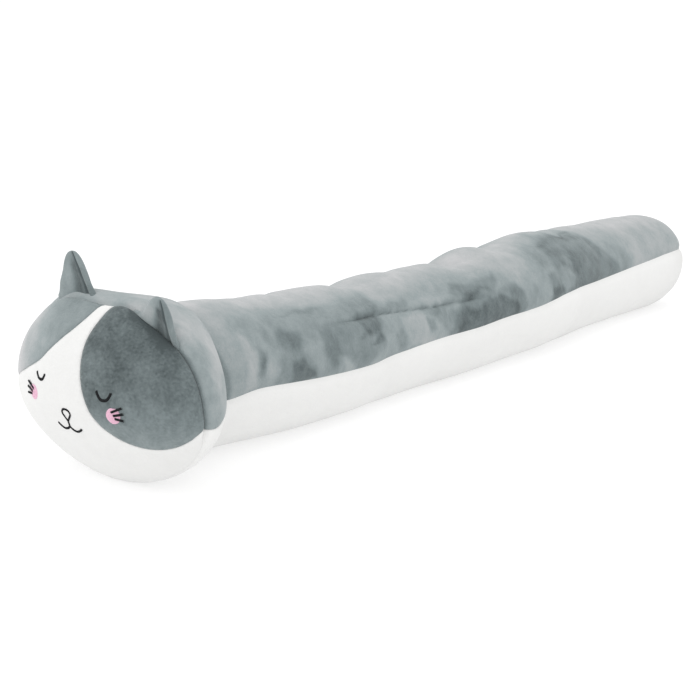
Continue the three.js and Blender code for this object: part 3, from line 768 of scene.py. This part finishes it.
inDisc = np.hypot(*mapped[triangles].mean(1).T) < 0.9995
triangles = triangles[inDisc]
facePoints = faceSpot(mapped[:, 0], mapped[:, 1])
corners = facePoints[triangles]
cross = np.cross(corners[:, 1] - corners[:, 0], corners[:, 2] - corners[:, 0])
if cross[:, 0].sum() > 0:  # the face looks along -X
    triangles = triangles[:, ::-1]
kind = np.zeros(len(triangles), int)
for number, patchMap in enumerate(patchMaps, 1):
    kind[insideBy(*mapped[triangles].mean(1).T, patchMap.tolist()) > 0] = number
faceNormal = faceNormals(facePoints, triangles)
edgeSpots = faceSpot(edgeAll[:, 0], edgeAll[:, 1])
edgeGap = np.full(len(facePoints), 1e3)
for spot in edgeSpots:
    edgeGap = np.minimum(edgeGap, np.linalg.norm(facePoints - spot, axis=1))
seamGap = (1 - np.minimum(np.hypot(mapped[:, 0], mapped[:, 1]), 1)) * 100
faceLift = facePuff(facePoints) - seam["patchDepth"] * bell(edgeGap, seam["patchWidth"])
faceLift = faceLift * offFloor(facePoints) * (1 - bell(seamGap, 3))
plainFace = facePoints.copy()
facePoints = facePoints + faceNormal * faceLift[:, None]
facePoints[:, 2] = np.maximum(facePoints[:, 2], 0)


def facePiece(name, number, values):
    chosen = triangles[kind == number]
    used, local = np.unique(chosen, return_inverse=True)
    piece = makeObject(name, facePoints[used], local.reshape(-1, 3))
    addValues(piece, "nap", values[used])
    return piece


farSheen = easeStep(plainFace[:, 1], 20, 90)  # painted sheen: paler round the far cheek
earShade = dict(start=(faceX + 33, -40, 126), end=(faceX + 36, -72, 108), width=8, tone=-0.4)
shadeRun = np.array(earShade["end"]) - earShade["start"]
share = np.clip((plainFace - earShade["start"]) @ shadeRun / (shadeRun @ shadeRun), 0, 1)
underEar = np.linalg.norm(plainFace - earShade["start"] - share[:, None] * shadeRun, axis=1)
faceHeight = plainFace[:, 2]
leftTones = dict(base=-1.02, mottle=0.16, top=-0.08, low=0.6, seam=-0.9, fleck=0.07)
patchLeftNapAndShade = leftTones["base"] + leftTones["mottle"] * softNoise(plainFace, 22, 51)
patchLeftNapAndShade += leftTones["top"] * bell(faceHeight - 112, 14) + leftTones["low"] * bell(faceHeight - 42, 20)
# painted shade under the near ear and along the face seam
patchLeftNapAndShade += earShade["tone"] * bell(underEar, earShade["width"]) + leftTones["seam"] * bell(seamGap, 1.2)
patchLeftNapAndShade += leftTones["fleck"] * np.random.default_rng(57).normal(size=len(patchLeftNapAndShade))  # flecks of pile
patchRightNapAndSheen = -0.4 + 1.6 * farSheen + 0.25 * softNoise(plainFace, 16, 52)
# painted sheen round the far cheek and painted light low down
faceNapAndLight = -0.35 + 0.6 * farSheen + 0.3 * softNoise(plainFace, 45, 53) + 0.8 * (1 - easeStep(faceHeight, 5, 35))
facePanel = facePiece("facePanel", 0, faceNapAndLight)
patchLeft = facePiece("facePatchLeft", 1, patchLeftNapAndShade)
patchRight = facePiece("facePatchRight", 2, patchRightNapAndSheen)


band = dict(steps=44, around=190, neckRoll=5.0, neckRun=9.0, sink=1.5,
            rollMiddle=(4.0, 60.0), rollHalf=(47.0, 55.5), girth=330, sideDepth=0.8, sideWidth=2.2,
            tuck=[(0.3, 1.2), (0.6, 2.6), (0.85, 4.2), (1.0, 6.0)])  # share of the way in to the roll, mm back
bandMarks = [  # tone, soft edge, outline in mm behind the face seam and degrees up
    (0.15, 4, [(13, 20), (17, 45), (14, 62), (45, 75), (45, 15)]),
    (-0.4, 2.5, [(1, 9), (3, 15), (9, 18), (16, 14), (17, 7), (8, 6)]),
    (-0.2, 3, [(-2, 14), (-2, 45), (8, 45), (10, 16)]),
]


def bandHalf(name, isUpper, seed):  # behind the face seam, above or below the change of colour
    v = (1 - np.cos(np.linspace(0, np.pi, band["steps"] + 1)[:, None])) / 2  # close rows at both ends
    turns = np.linspace(-0.9, 0.2, 400)

    def splitTurn(v, mirror):  # the turn at which the head reaches the height of the split
        out = []
        for share in v[:, 0]:
            t = np.pi - turns if mirror else turns
            x = seamPlace(t) + (head["length"] - seamPlace(t)) * share
            z = headSpot(x, t)[:, 2]
            order = np.argsort(z)
            out.append(np.interp(head["split"], z[order], t[order]))
        return np.array(out)[:, None]

    near, far = splitTurn(v, False), splitTurn(v, True)
    u = np.linspace(0, 1, band["around"] + 1)[None, :]
    turn = near + (far - near) * u if isUpper else far + (near + 2 * np.pi - far) * u
    x0 = seamPlace(turn)
    x = x0 + (head["length"] - x0) * v
    g = headSpot(x, turn)
    along, aroundStep = np.gradient(g, axis=0), np.gradient(g, axis=1)
    normal = unit(np.cross(along, aroundStep))
    gap = x - x0
    flatPoints = g.reshape(-1, 3)
    lift = (0.8 * softNoise(flatPoints, 38, 7) + 0.25 * softNoise(flatPoints, 13, 8)).reshape(gap.shape)
    lift *= 1 - bell(gap, 3)
    depth = head["length"] - x0
    lift -= band["neckRoll"] * easeStep(gap, depth - band["neckRun"], depth) ** 1.5
    lift -= band["sideDepth"] * bell(np.minimum(u, 1 - u) * band["girth"], band["sideWidth"])
    lift *= offFloor(g)
    g = g + normal * lift[:, :, None]
    inward = g[-1, :, 1:] - band["rollMiddle"]
    reach = np.linalg.norm(inward, axis=1, keepdims=True)
    inward = inward / reach
    rollReach = 1 / np.linalg.norm(inward / band["rollHalf"], axis=1, keepdims=True) - band["sink"]
    for share, back in band["tuck"]:  # tucked in where it is sewn to the roll
        edge = band["rollMiddle"] + inward * (reach + (rollReach - reach) * share)
        g = np.vstack([g, np.column_stack([g[band["steps"], :, 0] + back, edge])[None]])
        gap, turn = np.vstack([gap, gap[-1:]]), np.vstack([turn, turn[-1:]])
    g[:, :, 2] = np.maximum(g[:, :, 2], 0)
    flatPoints = g.reshape(-1, 3)
    rows, wide = gap.shape
    faces = [quad(i, j, j + 1, wide) for i in range(rows - 1) for j in range(wide - 1)]
    piece = makeObject(name, flatPoints, faces)
    # painted light: paler low down
    base = 0.4 + 0.6 * (1 - easeStep(flatPoints[:, 2], 5, 35))
    if isUpper:
        # painted shade along the face seam on the near side
        base = 0.2 - 0.9 * bell(gap, 1.0) * (1 - easeStep(np.degrees(turn), 50, 70))
        base = brush(base, gap, np.degrees(turn), bandMarks).ravel()
    mottle = 0.4 * softNoise(flatPoints, 20, seed) + 0.2 * softNoise(flatPoints, 9, seed + 1)
    addValues(piece, "nap", base + mottle)
    return piece


headBack = bandHalf("headBack", True, 61)
headUnder = bandHalf("headUnder", False, 63)
print("head made")


# ears
# valley is painted shade in the ear's cup
ears = [
    dict(name="earLeft", node="ear_left", inner=(33.5, -36, 127.5), outer=(36, -76, 106), lean=(-9.2, -14, 23),
         right=1, slim=(0.42, 1.1), tone=-0.35, valleyShade=1.1, valleyAt=0.16, valleyRun=0.28),
    dict(name="earRight", node="ear_right", inner=(37, 9, 129.5), outer=(38, 51.5, 126), lean=(1, 6, 31),
         right=-1, slim=(0.75, 1.25), tone=-0.55, valleyShade=0.65, valleyAt=0.2, valleyRun=0.32),
]
# the flank tone is painted light; the outer and seam tones are painted shade
earShape = dict(thick=3.6, cup=8.0, fold=0.12, root=0.35, narrowing=0.74, rings=44, sides=72,
                seamTurn=50, seamDepth=0.9, seamShade=-0.8, flankLight=0.5, outerShade=-0.4)


def makeEar(ear):
    inner, outer, lean = (np.array(ear[k], float) for k in ("inner", "outer", "lean"))
    base, chord = (inner + outer) / 2, (outer - inner) / 2
    front = unit(np.cross(chord, lean))
    front = -front if front[0] > 0 else front
    on = np.linspace(-earShape["root"], 0.99, earShape["rings"])[:, None]
    angle = np.arange(earShape["sides"])[None, :] / earShape["sides"] * 2 * np.pi
    rise = np.maximum(on, 0)
    tip = np.sqrt(1 - rise**10)
    share, facing = signedPower(np.cos(angle), 0.8), signedPower(np.sin(angle), 0.8)
    side = share * ear["right"]  # grows towards the viewer's right
    slim = ear["slim"][0] + (ear["slim"][1] - ear["slim"][0]) * easeStep(side, -0.5, 0.5)
    wide = (1 - earShape["narrowing"] * rise**slim) * tip
    cup = earShape["cup"] * (0.3 + 0.7 * easeStep(rise, 0, 0.4)) * (1 - 0.6 * rise)
    cup = cup * (np.sqrt((side - earShape["fold"]) ** 2 + 0.04) - 0.55) * wide
    seamTurn = earShape["seamTurn"] if ear["right"] > 0 else 180 - earShape["seamTurn"]
    seamLine = bell(np.degrees(angle) - seamTurn, 7)  # where front and back are sewn
    thick = facing * earShape["thick"] * tip * (0.8 + 0.2 * np.abs(share)) + cup
    thick = thick - earShape["seamDepth"] * seamLine * tip
    points = base + lean * on[..., None] + chord * (share * wide)[..., None] + front * thick[..., None]
    rows, sides = points.shape[:2]
    lumps = 0.4 * softNoise(points.reshape(-1, 3), 9, 71).reshape(rows, sides)
    points = points + front * (lumps * np.sign(facing))[..., None]
    flatPoints = list(points.reshape(-1, 3)) + [points[0].mean(0), points[-1].mean(0) + lean * 0.008]
    root, top = len(flatPoints) - 2, len(flatPoints) - 1
    faces = []
    for j in range(sides):
        k = (j + 1) % sides
        faces += [quad(i, k, j, sides) for i in range(rows - 1)]
        faces += [(k, j, root), ((rows - 1) * sides + j, (rows - 1) * sides + k, top)]
    flatPoints = np.array(flatPoints) + (faceX, 0, 0)
    if (faceNormals(flatPoints, faces)[top] @ lean) < 0:
        faces = [f[::-1] for f in faces]
    piece = makeObject(ear["name"], flatPoints, faces)
    isFront = easeStep(np.sin(angle), 0.25, 0.5)
    # painted light on the flank, painted shade in the valley, on the outer part and along the seam
    litFlank = earShape["flankLight"] * (1 - easeStep(side, -0.25, 0.1)) * (1 - 0.6 * rise)
    valleyShade = -ear["valleyShade"] * bell(side - ear["valleyAt"], ear["valleyRun"]) * (1 - easeStep(rise, 0.65, 0.9))
    valleyShade = valleyShade + earShape["outerShade"] * easeStep(side, 0.2, 0.4) * (1 - easeStep(side, 0.62, 0.75))
    tone = ear["tone"] + (litFlank + valleyShade) * isFront + earShape["seamShade"] * seamLine
    addValues(piece, "nap", np.append(tone.ravel(), [0, 0]) + 0.35 * softNoise(flatPoints, 12, 73))
    return piece


earPieces = {ear["node"]: makeEar(ear) for ear in ears}
print("ears made")


# finish the soft pieces
soft = [
    (bodyBack, "body_back", grey, 0),
    (bodyBelly, "body_belly", white, 0),
    (headBack, "head_back", grey, seam["skin"]),
    (headUnder, "head_under", white, seam["skin"]),
    (facePanel, "face_panel", white, seam["skin"]),
    (patchLeft, "face_patch_left", grey, seam["skin"]),
    (patchRight, "face_patch_right", grey, seam["skin"]),
    (earPieces["ear_left"], "ear_left", grey, 0),
    (earPieces["ear_right"], "ear_right", grey, 0),
]
for piece, node, (material, slot), skin in soft:
    piece.data.materials.append(material)
    if skin:
        thicken(piece, skin)
    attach(piece, "root")
    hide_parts(node)
print("soft pieces finished")


# stitching
def threadTree(name):  # turns the lines of a mesh into thin round threads
    tree = bpy.data.node_groups.new(name, "GeometryNodeTree")
    asked = {"Lines": "Geometry", "Thread radius": "Float", "Unevenness": "Float", "Sides": "Int",
             "Seed": "Int", "Thread": "Material"}
    for socket, kind in asked.items():
        tree.interface.new_socket(socket, in_out="INPUT", socket_type="NodeSocket" + kind)
    tree.interface.new_socket("Threads", in_out="OUTPUT", socket_type="NodeSocketGeometry")
    wire = Wire(tree)
    given = tree.nodes.new("NodeGroupInput")
    ask = {s.name: Wire(tree, s) for s in given.outputs if s.name}
    curve = wire.node("GeometryNodeMeshToCurve", {}, {"Mesh": ask["Lines"]})
    smooth = wire.node("GeometryNodeResampleCurve", {}, {"Curve": curve, "Count": 6})
    uneven = wire.node("FunctionNodeRandomValue", {"data_type": "FLOAT"}, {
        2: 1 - ask["Unevenness"], 3: 1.0, "Seed": ask["Seed"]}, out=1)
    sized = wire.node("GeometryNodeSetCurveRadius", {}, {"Curve": smooth, "Radius": uneven})
    ring = wire.node("GeometryNodeCurvePrimitiveCircle", {}, {
        "Resolution": ask["Sides"], "Radius": ask["Thread radius"]})
    tube = wire.node("GeometryNodeCurveToMesh", {}, {
        "Curve": sized, "Profile Curve": ring, "Scale": uneven, "Fill Caps": True})
    real = wire.node("GeometryNodeRealizeInstances", {}, {"Geometry": tube})
    done = wire.node("GeometryNodeSetMaterial", {}, {"Geometry": real, "Material": ask["Thread"]})
    wire.node("NodeGroupOutput", {}, {"Threads": done})
    return tree


stitchTree = threadTree("stitchThreads")
sewing = dict(pitch=0.42, radius=0.27, sides=5, unevenness=0.25, rise=0.55, sink=0.1, seed=11)
stitch = [(-1, 0.0), (-0.6, 0.8), (0, 1.0), (0.6, 0.8), (1, 0.0)]  # place across, share of the rise


def faceFrame(spots):  # 3-D places and outward directions of spots seen from the front
    spots = np.asarray(spots, float)
    places = []
    for du, dv in ((0, 0), (1, 0), (0, 1)):
        u, v = onFace(spots[:, 0] + du, spots[:, 1] + dv)
        places.append(faceSpot(u, v))
    out = unit(np.cross(places[1] - places[0], places[2] - places[0]))
    out[out[:, 0] > 0] *= -1
    return places[0] + out * facePuff(places[0])[:, None], out


def satinLine(spots, width, slant=0.35):  # short threads laid side by side across a line
    fine = refine(np.array(spots, float), 12)
    lengths = lineLengths(fine)
    middle = lineSpots(fine, lengths, np.arange(0, lengths[-1], sewing["pitch"]))
    ahead = unit(np.gradient(middle, axis=0))
    side = np.column_stack([-ahead[:, 1], ahead[:, 0]])
    return [[m + (s + a * slant) * width / 2 * k for k, _ in stitch] for m, a, s in zip(middle, ahead, side)]


def satinDisc(centre, halfWidth, halfHeight):  # threads laid side by side across a spot
    lines = []
    for step in np.arange(-halfHeight + 0.3, halfHeight, sewing["pitch"]):
        reach = halfWidth * math.sqrt(max(0.0, 1 - (step / halfHeight) ** 2))
        if reach > 0.6:
            lines.append([np.array(centre) + (reach * k, step) for k, _ in stitch])
    return lines


def embroider(name, node, lines, thread, rise=sewing["rise"], over=0.0):
    material, slot = thread
    places, out = faceFrame(np.array(lines).reshape(-1, 2))
    crown = np.tile([share for _, share in stitch], len(lines)) * rise + over
    points = places + out * (crown - sewing["sink"])[:, None]
    count = len(stitch)
    edges = [(count * i + k, count * i + k + 1) for i in range(len(lines)) for k in range(count - 1)]
    piece = makeObject(name, points, [], edges)
    modifier = piece.modifiers.new("threads", "NODES")
    modifier.node_group = stitchTree
    values = {"Thread radius": sewing["radius"] / metre, "Unevenness": sewing["unevenness"],
              "Sides": sewing["sides"], "Seed": sewing["seed"], "Thread": material}
    for item in stitchTree.interface.items_tree:
        if item.in_out == "INPUT" and item.name in values:
            modifier[item.identifier] = values[item.name]
    settle(piece)
    piece.data.polygons.foreach_set("use_smooth", [True] * len(piece.data.polygons))
    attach(piece, "root")
    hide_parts(node)
    return piece


eyes = [dict(name="eyeLeft", node="eye_left", across=-35, height=76, half=6, drop=5.7),
        dict(name="eyeRight", node="eye_right", across=32.2, height=78, half=5.6, drop=4.5)]
for eye in eyes:
    bend = [(eye["across"] + s * eye["half"], eye["height"] - eye["drop"] * (1 - abs(s) ** 2.6))
            for s in (-1, -0.85, -0.5, 0, 0.5, 0.85, 1)]
    embroider(eye["name"], eye["node"], satinLine(bend, 1.9), black)

nose = dict(across=1.4, top=58.5, tip=50.2, lap=0.3)
mouth = dict(height=45.6, dip=2.6, left=12.5, right=13.5)
x0 = nose["across"]
rightSide = [(2.2, 6), (4.4, 3), (3, 0.6)]  # mm out from the nose's middle, mm down from its top, going up
loop = [(x0, nose["tip"] - nose["lap"])] + [(x0 + out, nose["top"] - down) for out, down in rightSide]
loop += [(x0, nose["top"])] + [(x0 - out, nose["top"] - down) for out, down in rightSide[::-1]] + loop[:1]
stem = [(x0, nose["tip"]), (x0, (nose["tip"] + mouth["height"]) / 2), (x0, mouth["height"])]
smile = satinLine(loop, 1.3) + satinLine(stem, 1.5)
for reach in (-mouth["left"], mouth["right"]):
    arc = [(x0 + reach * k, mouth["height"] - mouth["dip"] * d)
           for k, d in ((0, -0.1), (0.2, 0.6), (0.5, 1), (0.8, 0.5), (1, -0.23))]
    smile += satinLine(arc, 1.4)
embroider("noseMouth", "nose_mouth", smile, black)

cheeks = [dict(side="left", name="Left", across=-43, height=61, out=-1),
          dict(side="right", name="Right", across=43, height=62.5, out=1)]
cheekSpot = dict(halfWidth=5.8, halfHeight=5.4)
whiskers = [((-1, 2.6), (7.2, 6.4)), ((0.8, 0.4), (8.2, 2.4)), ((2, -1.6), (8.4, -2.2))]  # from the cheek
for cheek in cheeks:
    centre = (cheek["across"], cheek["height"])
    embroider("cheek" + cheek["name"], "cheek_" + cheek["side"], satinDisc(centre, **cheekSpot), pink, rise=0.5)
    for number, whisker in enumerate(whiskers, 1):
        ends = [(cheek["across"] + cheek["out"] * p[0], cheek["height"] + p[1]) for p in whisker]
        middle = tuple((a + b) / 2 for a, b in zip(*ends))
        embroider(f"whisker{cheek['name']}{number}", f"whisker_{cheek['side']}_{number}",
                  satinLine([ends[0], middle, ends[1]], 1.4), black, over=0.6)
print("stitching made")
